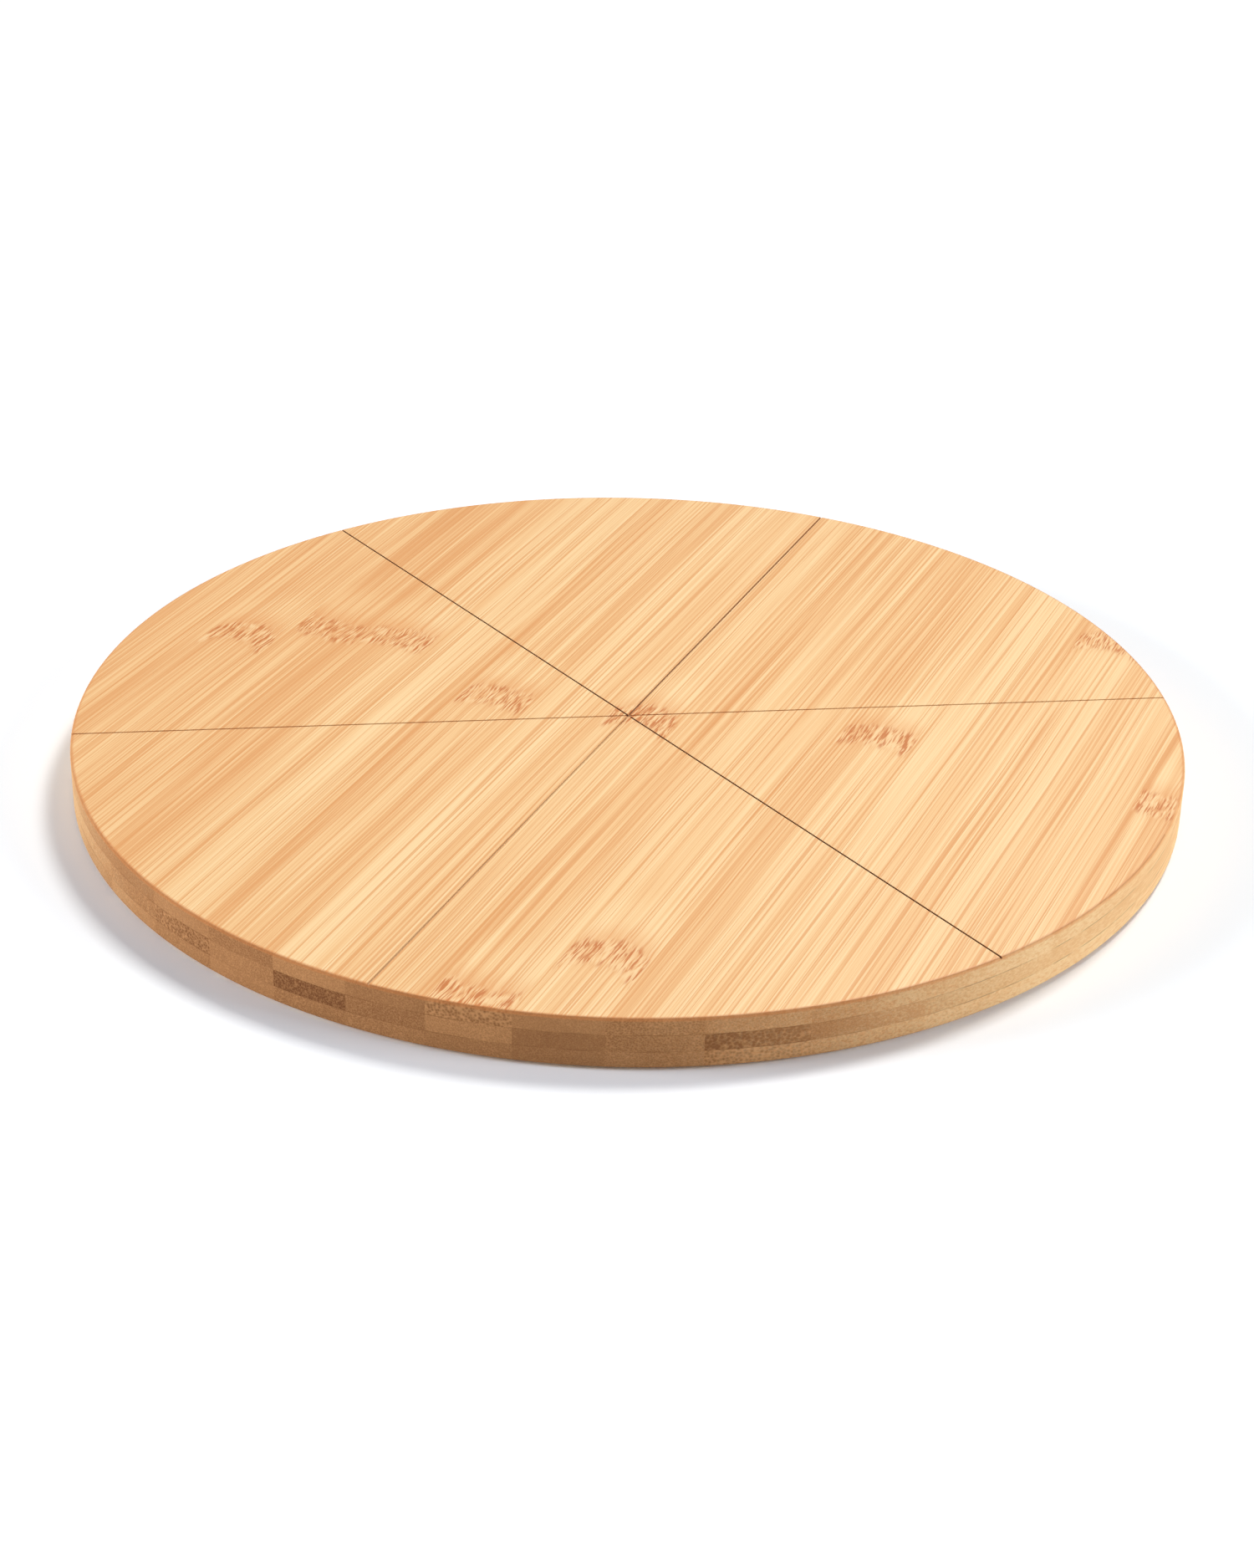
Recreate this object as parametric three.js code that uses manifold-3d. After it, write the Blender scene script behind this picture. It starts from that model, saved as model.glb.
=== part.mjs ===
// A bamboo lazy susan for serving: a round three-ply board, scored into six portions, that turns on
// a slim ball bearing let into a pocket in its underside. Millimetres, +Z up. The origin is on the
// table, under the board's centre. The bamboo's grain and the first score line run along Y.
import * as THREE from "three";
import { mergeVertices } from "three/addons/utils/BufferGeometryUtils.js";
import Module from "manifold-3d";

const wasm = await Module();
wasm.setup();

// ---- Driving dimensions ----

// Board
const boardDiameter = 350;
const plyThickness = 5.3;
const rimEase = 1; // radius of the sanded edges, above and below
const tableClearance = 1; // the board's underside above the table
const scoreLines = 3; // lines right across the board, so twice as many portions
const scoreWidth = 0.7;
const scoreDepth = 0.6;

// Pocket under the board, for the bearing
const pocketDepth = 8.5;
const pocketClearance = 3; // round the outer race, which stands still

// Ball bearing
const pitchRadius = 52; // from the axis to the balls' centres
const ballDiameter = 5;
const ballCount = 20;
const fillingClearance = 0.1; // half of what a ball has to spare as it goes in between off-centre races
const raceWall = 5; // radial thickness of each race behind its land
const raceClearance = 0.12; // ball to groove
const axialGap = 0.6; // between the ends of the two races, so that only the balls touch both
const raceChamfer = 0.5;
const outerFlangeThickness = 4;

// Ball retainer, which snaps over the balls from below
const retainerSideGap = 0.5; // to each race
const retainerWeb = 0.7; // under each ball
const retainerLip = 1.2; // above the balls' centres
const retainerClearance = 0.15; // round each ball

// Countersunk wood screws, which hold the inner race to the board
const screwCount = 4;
const screwDiameter = 3.5;
const screwRootDiameter = 2.5;
const screwPitch = 1.3;
const screwHeadDiameter = 7;
const screwHeadRim = 0.3; // the straight edge under the head's flat
const screwCover = 2.4; // bamboo left over the point
const screwClearance = 0.3;
const screwSeatWall = 1; // race flange left round the head, and above its cone
const driveWidth = 0.9; // arms of the cross recess
const driveLength = 3.8;
const driveDepth = 1.3;

// Rubber feet, which sit in recesses under the outer race
const footCount = 4;
const footDiameter = 9;
const footStandOff = 1; // the outer race above the table
const footSeatDepth = 1.2;
const footSeatWall = 1; // race left on each side of a seat
const footEase = 0.4;
const footClearance = 0.3;
const footGlue = 0.3; // the layer between a foot and the top of its seat

// Facets
const boardFacets = 96;
const raceFacets = 72;
const smallFacets = 20;
const screwFacets = 12;
const ballFacets = 10;
const ballBands = 7;

// ---- Places worked out from them ----

const boardRadius = boardDiameter / 2;
const bottomPlyZ = tableClearance;
const corePlyZ = bottomPlyZ + plyThickness;
const topPlyZ = corePlyZ + plyThickness;
const servingFaceZ = topPlyZ + plyThickness;
const pocketCeilingZ = tableClearance + pocketDepth;

// Twice the gap between the races' lands lets a ball in while the races are off-centre.
const raceGap = ballDiameter / 2 + fillingClearance;
const screwHeadSeatRadius = screwHeadDiameter / 2 + screwClearance;
const screwShankSeatRadius = screwDiameter / 2 + screwClearance;
const screwConeDepth = screwHeadSeatRadius - screwShankSeatRadius;
const footSeatRadius = footDiameter / 2 + footClearance;
const innerFlangeWidth = 2 * (screwHeadSeatRadius + screwSeatWall);
const innerFlangeThickness = screwHeadRim + screwConeDepth + screwSeatWall;
const outerFlangeWidth = 2 * (footSeatRadius + footSeatWall) - raceWall;

const innerLandRadius = pitchRadius - raceGap / 2;
const outerLandRadius = pitchRadius + raceGap / 2;
const innerWallRadius = innerLandRadius - raceWall;
const outerWallRadius = outerLandRadius + raceWall;
const boreRadius = innerWallRadius - innerFlangeWidth;
const outerRaceRadius = outerWallRadius + outerFlangeWidth;
const pocketRadius = outerRaceRadius + pocketClearance;

const outerRaceZ = footStandOff;
const raceHeight = pocketCeilingZ - outerRaceZ - axialGap;
const innerRaceZ = pocketCeilingZ - raceHeight;
const ballCentreZ = (outerRaceZ + pocketCeilingZ) / 2;
const grooveRadius = ballDiameter / 2 + raceClearance;

const screwCircleRadius = boreRadius + innerFlangeWidth / 2;
const screwHeadZ = pocketCeilingZ - innerFlangeThickness;
const screwPointZ = servingFaceZ - screwCover;
const screwLength = screwPointZ - screwHeadZ;
const footCircleRadius = (outerLandRadius + outerRaceRadius) / 2;
const footHeight = footStandOff + footSeatDepth - footGlue;

// ---- Materials ----

const bamboo = new THREE.MeshStandardMaterial({ color: 0xe3b27a, roughness: 0.5, metalness: 0 });
const aluminium = new THREE.MeshStandardMaterial({ color: 0xc4c6c9, roughness: 0.35, metalness: 1 });
const steel = new THREE.MeshStandardMaterial({ color: 0xb4b5b8, roughness: 0.3, metalness: 1 });
const ballSteel = new THREE.MeshStandardMaterial({ color: 0xd6d7da, roughness: 0.08, metalness: 1 });
const nylon = new THREE.MeshStandardMaterial({ color: 0xe8e5dc, roughness: 0.5, metalness: 0 });
const rubber = new THREE.MeshStandardMaterial({ color: 0x1c1c1d, roughness: 0.85, metalness: 0 });

// ---- Helpers ----

// Points along an arc in a section, each a Vector2 of radius and height. Angles are in degrees.
function arc(centre, radius, from, to, steps) {
  return Array.from({ length: steps + 1 }, (_, i) => {
    const a = THREE.MathUtils.degToRad(from + ((to - from) * i) / steps);
    return new THREE.Vector2(centre[0] + radius * Math.cos(a), centre[1] + radius * Math.sin(a));
  });
}

// A section of [radius, height] points, turned about Z. It runs anticlockwise, seen with +Z up and
// the axis at the left.
function turned(section, facets) {
  const points = section.map((p) => (p.isVector2 ? p : new THREE.Vector2(p[0], p[1])));
  if (points[0].x > 0) points.push(points[0].clone());
  return new THREE.LatheGeometry(points, facets).rotateX(Math.PI / 2);
}

function toSolid(geometry) {
  const bare = geometry.clone();
  bare.deleteAttribute("normal");
  bare.deleteAttribute("uv");
  const merged = mergeVertices(bare, 1e-4);
  return new wasm.Manifold(
    new wasm.Mesh({
      numProp: 3,
      vertProperties: new Float32Array(merged.attributes.position.array),
      triVerts: new Uint32Array(merged.index.array),
    }),
  );
}

function toGeometry(solid) {
  const { vertProperties, triVerts } = solid.getMesh();
  const geometry = new THREE.BufferGeometry();
  geometry.setAttribute("position", new THREE.BufferAttribute(vertProperties, 3));
  geometry.setIndex(new THREE.BufferAttribute(triVerts, 1));
  geometry.computeVertexNormals();
  return geometry;
}

// The geometry with each cutter taken out of it.
function cut(geometry, cutters) {
  return toGeometry(cutters.reduce((solid, cutter) => solid.subtract(toSolid(cutter)), toSolid(geometry)));
}

// An upright cylinder from one height to another.
function post(radius, fromZ, toZ, facets) {
  return new THREE.CylinderGeometry(radius, radius, toZ - fromZ, facets)
    .rotateX(Math.PI / 2)
    .translate(0, 0, (fromZ + toZ) / 2);
}

// Evenly spaced angles round the axis, in radians.
function spokes(count, firstDegrees = 0) {
  return Array.from({ length: count }, (_, i) => THREE.MathUtils.degToRad(firstDegrees + (360 * i) / count));
}

function aroundAxis(geometry, radius, angle) {
  return geometry.clone().translate(radius, 0, 0).rotateZ(angle);
}

function named(name, geometry, material) {
  const mesh = new THREE.Mesh(geometry, material);
  mesh.name = name;
  return mesh;
}

// Adds a ring of copies of one piece to a group, each in its own turned group.
function addRing(group, name, geometry, material, radius, z, angles) {
  angles.forEach((angle, i) => {
    const spoke = new THREE.Group();
    spoke.rotation.z = angle;
    const mesh = named(`${name}_${String(i + 1).padStart(2, "0")}`, geometry, material);
    mesh.position.set(radius, 0, z);
    spoke.add(mesh);
    group.add(spoke);
  });
}

const screwAngles = spokes(screwCount, 45);
const footAngles = spokes(footCount);
const ballAngles = spokes(ballCount);

// ---- Board ----

// A plain disc of bamboo, with a sanded edge at its top or its bottom where it has one.
function plyBlank(z, easeTop, easeBottom) {
  const top = z + plyThickness;
  const lower = easeBottom
    ? arc([boardRadius - rimEase, z + rimEase], rimEase, -90, 0, 3)
    : [[boardRadius, z]];
  const upper = easeTop
    ? arc([boardRadius - rimEase, top - rimEase], rimEase, 0, 90, 3)
    : [[boardRadius, top]];
  return turned([[0, z], ...lower, ...upper, [0, top]], boardFacets);
}

// The round pocket for the bearing, open below.
function pocketCutter() {
  return post(pocketRadius, tableClearance - 1, pocketCeilingZ, boardFacets);
}

function pilotHoleCutters() {
  const end = screwPointZ + screwClearance;
  const hole = post(screwShankSeatRadius, pocketCeilingZ - 1, end, screwFacets);
  return screwAngles.map((angle) => aroundAxis(hole, screwCircleRadius, angle));
}

// Score lines right across the serving face, the first along the grain.
function scoreCutters() {
  const line = new THREE.BoxGeometry(scoreWidth, boardDiameter + 2, 2 * scoreDepth);
  line.translate(0, 0, servingFaceZ);
  return spokes(2 * scoreLines)
    .slice(0, scoreLines)
    .map((angle) => line.clone().rotateZ(angle));
}

function makeBoard() {
  const board = new THREE.Group();
  const underneath = [pocketCutter(), ...pilotHoleCutters()];
  const topCutters = [...scoreCutters(), ...underneath];
  board.add(named("top_ply", cut(plyBlank(topPlyZ, true, false), topCutters), bamboo));
  board.add(named("core_ply", cut(plyBlank(corePlyZ, false, false), underneath), bamboo));
  board.add(named("bottom_ply", cut(plyBlank(bottomPlyZ, false, true), underneath), bamboo));
  return board;
}

// ---- Bearing ----

// The groove in a land: the arc between the two points where the groove's circle meets the land.
function groove(side, steps) {
  const half = THREE.MathUtils.radToDeg(Math.acos(raceGap / 2 / grooveRadius));
  const middle = side > 0 ? 0 : 180;
  return arc([pitchRadius, ballCentreZ], grooveRadius, middle + half, middle - half, steps);
}

// The inner race turns with the board. Its flange takes the screws.
function makeInnerRace() {
  const top = pocketCeilingZ;
  const bottom = innerRaceZ;
  const section = [
    [boreRadius, screwHeadZ],
    [innerWallRadius, screwHeadZ],
    [innerWallRadius, bottom],
    [innerLandRadius - raceChamfer, bottom],
    [innerLandRadius, bottom + raceChamfer],
    ...groove(-1, 6),
    [innerLandRadius, top - raceChamfer],
    [innerLandRadius - raceChamfer, top],
    [boreRadius, top],
  ];
  return cut(turned(section, raceFacets), screwSeatCutters());
}

// A clearance hole through the flange, with a countersink from below.
function screwSeatCutters() {
  const coneStart = screwHeadZ + screwHeadRim;
  const section = [
    [0, screwHeadZ - 1],
    [screwHeadSeatRadius, screwHeadZ - 1],
    [screwHeadSeatRadius, coneStart],
    [screwShankSeatRadius, coneStart + screwConeDepth],
    [screwShankSeatRadius, pocketCeilingZ + 1],
    [0, pocketCeilingZ + 1],
  ];
  const seat = turned(section, smallFacets);
  return screwAngles.map((angle) => aroundAxis(seat, screwCircleRadius, angle));
}

// The outer race stands on the table. Its flange stiffens it and its underside holds the feet.
function makeOuterRace() {
  const top = outerRaceZ + raceHeight;
  const bottom = outerRaceZ;
  const step = bottom + outerFlangeThickness;
  const section = [
    [outerLandRadius + raceChamfer, bottom],
    [outerRaceRadius - raceChamfer, bottom],
    [outerRaceRadius, bottom + raceChamfer],
    [outerRaceRadius, step - raceChamfer],
    [outerRaceRadius - raceChamfer, step],
    [outerWallRadius, step],
    [outerWallRadius, top - raceChamfer],
    [outerWallRadius - raceChamfer, top],
    [outerLandRadius + raceChamfer, top],
    [outerLandRadius, top - raceChamfer],
    ...groove(1, 6),
    [outerLandRadius, bottom + raceChamfer],
  ];
  const seat = post(footSeatRadius, bottom - 1, bottom + footSeatDepth, smallFacets);
  return cut(
    turned(section, raceFacets),
    footAngles.map((angle) => aroundAxis(seat, footCircleRadius, angle)),
  );
}

// A ring between the races, with a pocket for each ball. Each pocket's mouth is narrower than its ball.
function makeRetainer() {
  const pocket = ballDiameter / 2 + retainerClearance;
  const wall = raceGap - 2 * retainerSideGap;
  const inner = pitchRadius - wall / 2;
  const outer = pitchRadius + wall / 2;
  const bottom = ballCentreZ - pocket - retainerWeb;
  const top = ballCentreZ + retainerLip;
  const ring = turned([[inner, bottom], [outer, bottom], [outer, top], [inner, top]], ballCount * 3);
  const hole = new THREE.CylinderGeometry(pocket, pocket, 4 * wall, smallFacets)
    .rotateZ(Math.PI / 2)
    .translate(0, 0, ballCentreZ);
  return cut(
    ring,
    ballAngles.map((angle) => aroundAxis(hole, pitchRadius, angle)),
  );
}

function makeBall() {
  return new THREE.SphereGeometry(ballDiameter / 2, ballFacets, ballBands).rotateX(Math.PI / 2);
}

// A countersunk wood screw, point up, with its head's flat face at its own origin.
function makeScrew() {
  const root = screwRootDiameter / 2;
  const crest = screwDiameter / 2;
  const headRadius = screwHeadDiameter / 2;
  const neckZ = screwHeadRim + (headRadius - root);
  const tipLength = screwDiameter / 2;
  const turns = Math.floor((screwLength - neckZ - tipLength) / screwPitch);
  const thread = Array.from({ length: turns }, (_, i) => {
    const z = neckZ + screwPitch * (i + 0.5);
    return [
      [root, z - screwPitch / 4],
      [crest, z],
      [root, z + screwPitch / 4],
    ];
  }).flat();
  const body = turned(
    [
      [0, 0],
      [headRadius, 0],
      [headRadius, screwHeadRim],
      [root, neckZ],
      ...thread,
      [root, screwLength - tipLength],
      [0, screwLength],
    ],
    screwFacets,
  );
  const arm = new THREE.BoxGeometry(driveLength, driveWidth, 2 * driveDepth);
  return cut(body, [arm, arm.clone().rotateZ(Math.PI / 2)]);
}

function makeFoot() {
  const radius = footDiameter / 2;
  const edge = arc([radius - footEase, footEase], footEase, -90, 0, 2);
  return turned([[0, 0], ...edge, [radius, footHeight], [0, footHeight]], smallFacets);
}

// ---- Assembly ----

// Everything that turns with the board.
const turntable = makeBoard();
turntable.add(named("inner_race", makeInnerRace(), aluminium));
addRing(turntable, "race_screw", makeScrew(), steel, screwCircleRadius, screwHeadZ, screwAngles);

// The balls and their retainer roll round at about half the board's speed.
const ballSet = new THREE.Group();
ballSet.add(named("ball_retainer", makeRetainer(), nylon));
addRing(ballSet, "ball", makeBall(), ballSteel, pitchRadius, ballCentreZ, ballAngles);

// What stands on the table.
const base = new THREE.Group();
base.add(named("outer_race", makeOuterRace(), aluminium));
addRing(base, "foot", makeFoot(), rubber, footCircleRadius, 0, footAngles);

const lazySusan = new THREE.Group();
lazySusan.add(base, ballSet, turntable);
export default lazySusan;
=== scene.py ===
# %% [markdown]
# # A bamboo lazy susan
#
# A round serving board of three bamboo plies turns on a slim ball bearing hidden in its underside.
# The frame gives every part its place and its size. This lesson makes the pieces that are seen: the
# plies with their staves, knuckles and score lines, and then the bearing, its screws and its feet.

import math

import bpy
from mathutils import Matrix, Vector


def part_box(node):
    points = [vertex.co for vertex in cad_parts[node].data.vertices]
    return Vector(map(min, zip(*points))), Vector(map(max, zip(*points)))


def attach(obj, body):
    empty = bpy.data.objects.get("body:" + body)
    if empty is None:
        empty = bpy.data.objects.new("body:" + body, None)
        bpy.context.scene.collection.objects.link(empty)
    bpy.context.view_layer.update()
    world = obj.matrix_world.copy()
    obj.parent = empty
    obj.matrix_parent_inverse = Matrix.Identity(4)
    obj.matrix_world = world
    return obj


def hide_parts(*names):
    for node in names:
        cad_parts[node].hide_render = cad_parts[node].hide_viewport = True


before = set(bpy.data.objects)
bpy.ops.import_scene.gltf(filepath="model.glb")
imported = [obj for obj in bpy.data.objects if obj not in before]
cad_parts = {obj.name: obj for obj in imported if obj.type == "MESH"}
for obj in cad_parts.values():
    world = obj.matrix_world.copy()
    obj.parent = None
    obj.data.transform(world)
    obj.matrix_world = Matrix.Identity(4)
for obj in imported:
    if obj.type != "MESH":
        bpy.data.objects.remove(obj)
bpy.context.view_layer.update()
MM = 0.001

# %% [markdown]
# ## Camera
#
# A camera is easiest to place by the two angles it looks along, and then by its distance. Azimuth 0
# looks along +Y. The board's grain runs along Y, so the camera stands a little round to the right of
# the grain and well above the table. It also hangs slightly low and is tipped by about a degree.

# %% Camera
CAMERA_AZIMUTH = math.radians(23.25)
CAMERA_ELEVATION = math.radians(28.8)
CAMERA_TIP = math.radians(1.22)
CAMERA_DISTANCE = 0.942
CAMERA_DROP = 0.0218
CAMERA_LENS = 68.04

face_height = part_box("top_ply")[1].z
board_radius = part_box("top_ply")[1].x


def level_direction(turn):
    """A level direction as the camera sees it: 0 is to its right, 90 degrees is away from it."""
    return Vector((math.cos(turn + CAMERA_AZIMUTH), math.sin(turn + CAMERA_AZIMUTH), 0))


right = level_direction(0)
towards_camera = -level_direction(math.pi / 2) * math.cos(CAMERA_ELEVATION)
towards_camera.z = math.sin(CAMERA_ELEVATION)
up = towards_camera.cross(right)
camera_place = Vector((0, 0, face_height)) + towards_camera * CAMERA_DISTANCE - up * CAMERA_DROP
tipped_right = right * math.cos(CAMERA_TIP) + up * math.sin(CAMERA_TIP)
tipped_up = towards_camera.cross(tipped_right)

bpy.ops.object.select_all(action="DESELECT")
bpy.ops.object.camera_add()
camera = bpy.context.object
camera.name = "camera"
camera.matrix_world = Matrix.Translation(camera_place) @ Matrix(
    (tipped_right, tipped_up, towards_camera)
).transposed().to_4x4()
camera.data.lens = CAMERA_LENS
camera.data.sensor_width = 36
bpy.context.scene.camera = camera
print("camera at", [round(v, 3) for v in camera_place])

# %% [markdown]
# ## Floor and light
#
# A plain white setting needs a floor bright enough to vanish, and a board that still has a shape.
# The key lamp stands behind the board and to the right, between the directions of two score lines.
# It lights those two along their length and falls across the third, which is the darkest. Low lamps
# at each side brighten the rim's two ends and leave its front in shade. The key is a little warm and
# the side lamps a little cool, because bamboo tints the shadow beside it and they bring it back to
# grey.

# %% Floor
FLOOR_SIZE = 8.0

bpy.ops.object.select_all(action="DESELECT")
bpy.ops.mesh.primitive_plane_add(size=FLOOR_SIZE)
floor = bpy.context.object
floor.name = "floor"

# %% Lamps and sky
bpy.context.scene.view_settings.view_transform = "Standard"
sky = bpy.data.worlds.new("even_sky")
sky.use_nodes = True
sky.node_tree.nodes["Background"].inputs["Color"].default_value = (0.91, 1, 1.11, 1)
sky.node_tree.nodes["Background"].inputs["Strength"].default_value = 0.23
bpy.context.scene.world = sky


def add_lamp(name, turn, elevation, distance, size, power, colour):
    """A square lamp that faces the board."""
    away = level_direction(math.radians(turn)) * math.cos(math.radians(elevation))
    away.z = math.sin(math.radians(elevation))
    bpy.ops.object.light_add(type="AREA", location=away * distance)
    lamp = bpy.context.object
    lamp.name = name
    lamp.rotation_euler = away.to_track_quat("Z", "Y").to_euler()
    lamp.data.size = size
    lamp.data.energy = power
    lamp.data.color = colour
    return lamp


WARM_LIGHT = (1.015, 1.0, 0.965)
COOL_LIGHT = (0.965, 1.0, 1.07)
add_lamp("key_lamp", turn=50, elevation=56, distance=3.6, size=1.0, power=85, colour=WARM_LIGHT)
add_lamp("right_lamp", turn=-16, elevation=24, distance=3.6, size=1.2, power=60, colour=COOL_LIGHT)
add_lamp("left_lamp", turn=187, elevation=18, distance=3.6, size=1.2, power=102, colour=COOL_LIGHT)

# %% [markdown]
# ## A shorthand for materials
#
# A procedural material is a sum written in nodes. Wiring them one by one hides the sum, so this small
# class adds a node for each step and hands back its result. Every pattern starts from Object
# coordinates: they are the board's own millimetres, so a pattern runs on from one piece to the next.


# %% Material shorthand
def paint(red, green, blue):
    """A colour given in the usual 0 to 255 steps, as the linear colour that shaders work in."""

    def linear(step):
        share = step / 255
        return share / 12.92 if share <= 0.04045 else ((share + 0.055) / 1.055) ** 2.4

    return (linear(red), linear(green), linear(blue), 1)


class Recipe:
    """A material whose steps are written as sums. Each method returns what its node gives out."""

    def __init__(self, name):
        self.material = bpy.data.materials.new(name)
        self.material.use_nodes = True
        self.tree = self.material.node_tree
        self.shader = self.tree.nodes["Principled BSDF"]
        self.here = self.tree.nodes.new("ShaderNodeTexCoord").outputs["Object"]

    def give(self, socket, value):
        if isinstance(value, bpy.types.NodeSocket):
            self.tree.links.new(value, socket)
        else:
            socket.default_value = value

    def finish(self, **values):
        """Sets the shader's own sockets, named with _ for a space."""
        for name, value in values.items():
            self.give(self.shader.inputs[name.replace("_", " ")], value)
        return self.material

    def calc(self, operation, *values, clamp=False):
        node = self.tree.nodes.new("ShaderNodeMath")
        node.operation = operation
        node.use_clamp = clamp
        for socket, value in zip(node.inputs, values):
            self.give(socket, value)
        return node.outputs[0]

    def split(self, vector):
        node = self.tree.nodes.new("ShaderNodeSeparateXYZ")
        self.give(node.inputs[0], vector)
        return node.outputs[0], node.outputs[1], node.outputs[2]

    def join(self, x, y, z):
        node = self.tree.nodes.new("ShaderNodeCombineXYZ")
        for socket, value in zip(node.inputs, (x, y, z)):
            self.give(socket, value)
        return node.outputs[0]

    def stretch(self, vector, scales):
        """The vector with its x, y and z each multiplied, so that a pattern is long or short."""
        node = self.tree.nodes.new("ShaderNodeMapping")
        self.give(node.inputs["Vector"], vector)
        node.inputs["Scale"].default_value = scales
        return node.outputs[0]

    def noise(self, vector, detail=1.0, roughness=0.5):
        node = self.tree.nodes.new("ShaderNodeTexNoise")
        self.give(node.inputs["Vector"], vector)
        node.inputs["Scale"].default_value = 1
        node.inputs["Detail"].default_value = detail
        node.inputs["Roughness"].default_value = roughness
        return node.outputs[0]

    def cells(self, vector, scale=1.0):
        """The distance to the nearest of many scattered points."""
        node = self.tree.nodes.new("ShaderNodeTexVoronoi")
        self.give(node.inputs["Vector"], vector)
        self.give(node.inputs["Scale"], scale)
        return node.outputs["Distance"]

    def luck(self, number):
        """Three chance values from 0 to 1 that are always the same for the same number."""
        node = self.tree.nodes.new("ShaderNodeTexWhiteNoise")
        node.noise_dimensions = "1D"
        self.give(node.inputs["W"], number)
        return self.split(node.outputs["Color"])

    def ease(self, value, start, end, low=0.0, high=1.0):
        """Goes smoothly from low to high as the value goes from start to end."""
        node = self.tree.nodes.new("ShaderNodeMapRange")
        node.interpolation_type = "SMOOTHSTEP"
        for socket, number in zip(node.inputs, (value, start, end, low, high)):
            self.give(socket, number)
        return node.outputs[0]

    def mix(self, share, first, second):
        node = self.tree.nodes.new("ShaderNodeMix")
        node.data_type = "RGBA"
        self.give(node.inputs[0], share)
        self.give(node.inputs[6], first)
        self.give(node.inputs[7], second)
        return node.outputs[2]

    def ramp(self, value, stops, stepped=False):
        """A colour for each value, between stops of (value, colour)."""
        node = self.tree.nodes.new("ShaderNodeValToRGB")
        bar = node.color_ramp
        bar.interpolation = "CONSTANT" if stepped else "LINEAR"
        while len(bar.elements) < len(stops):
            bar.elements.new(1)
        for element, (place, colour) in zip(bar.elements, stops):
            element.position = place
            element.color = colour
        self.give(node.inputs[0], value)
        return node.outputs[0]

    def bump(self, height, depth):
        """A fine relief. Depth is the height's full swing, in metres."""
        node = self.tree.nodes.new("ShaderNodeBump")
        self.give(node.inputs["Height"], height)
        node.inputs["Strength"].default_value = 1
        node.inputs["Distance"].default_value = depth
        return node.outputs[0]


# %% Floor finish
def floor_finish():
    """Matt white paper, with the faintest mottle."""
    paper = Recipe("white_paper")
    mottle = paper.noise(paper.stretch(paper.here, (3, 3, 3)), detail=3)
    colour = paper.ramp(mottle, [(0.3, (0.93, 0.935, 0.94, 1)), (0.7, (0.96, 0.965, 0.97, 1))])
    return paper.finish(Base_Color=colour, Roughness=0.9, Specular_IOR_Level=0.1)


floor.data.materials.append(floor_finish())

# %% [markdown]
# ## Bamboo
#
# Bamboo is a bundle of stiff fibres. A board is glued up from staves, 24 mm wide here, and each stave
# has its own tone. Along the grain the fibres show as streaks. Where they are cut across, at the rim,
# the same fibres show as dots. A flat pattern could only show one of them, so this material is solid: it
# is a pattern of dots in X and Z, drawn out very long in Y, and each face shows its own cut of it.
#
# Every 200 mm or so the cane had a joint, which a stave shows as a ragged knuckle: a row of short dark
# and light flecks with an orange bruise round it. Each ply has a card for each of its staves. It gives
# the stave's tone, its knuckle's place along Y, and how coarse its fibres are.

# %% Staves
STAVE_WIDTH = 24 * MM
FIRST_JOINT = -175 * MM  # where the first stave starts, at the left end of the rim
NO_KNUCKLE = 200  # a knuckle this far out, in mm, is off the board
KNUCKLE_REACH = 400  # mm from one end of a card's scale to the other

# tone from 0, dark, to 1, pale; knuckle in mm; coarseness from 0 to 1
TOP_STAVES = [
    (0.40, NO_KNUCKLE, 0.3),
    (0.30, 0, 0.3),
    (0.33, 13, 0.3),
    (0.34, 18, 0.2),
    (0.52, NO_KNUCKLE, 0.2),
    (0.38, -6, 0.3),
    (0.62, NO_KNUCKLE, 0.2),
    (0.44, 3, 0.2),
    (0.57, -170, 1.0),
    (0.57, -131, 0.1),
    (0.50, 22, 0.6),
    (0.66, NO_KNUCKLE, 0.4),
    (0.54, 120, 0.4),
    (0.62, NO_KNUCKLE, 0.5),
    (0.38, 15, 0.4),
]
CORE_STAVES = [
    (0.5, 60, 0.4),
    (0.45, NO_KNUCKLE, 0.3),
    (0.55, -110, 0.4),
    (0.42, NO_KNUCKLE, 0.5),
    (0.30, -152, 0.9),
    (0.52, 80, 0.3),
    (0.05, NO_KNUCKLE, 0.5),
    (0.38, -40, 0.4),
    (0.66, NO_KNUCKLE, 0.3),
    (0.34, 140, 0.1),
    (0.42, NO_KNUCKLE, 0.5),
    (0.02, -20, 1.0),
    (0.25, NO_KNUCKLE, 0.3),
    (0.20, NO_KNUCKLE, 0.6),
    (0.15, NO_KNUCKLE, 0.5),
]
UNDER_STAVES = [
    (0.50, NO_KNUCKLE, 0.4),
    (0.56, 95, 0.3),
    (0.44, NO_KNUCKLE, 0.4),
    (0.60, -85, 0.3),
    (0.50, NO_KNUCKLE, 0.3),
    (0.62, 30, 0.2),
    (0.46, 128, 0.4),
    (0.54, NO_KNUCKLE, 0.4),
    (0.48, -120, 0.3),
    (0.40, 112, 0.2),
    (0.52, NO_KNUCKLE, 0.4),
    (0.58, -12, 1.0),
    (0.64, NO_KNUCKLE, 0.5),
    (0.70, 60, 0.9),
    (0.66, NO_KNUCKLE, 0.7),
]
print("staves to a ply:", len(TOP_STAVES))


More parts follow.
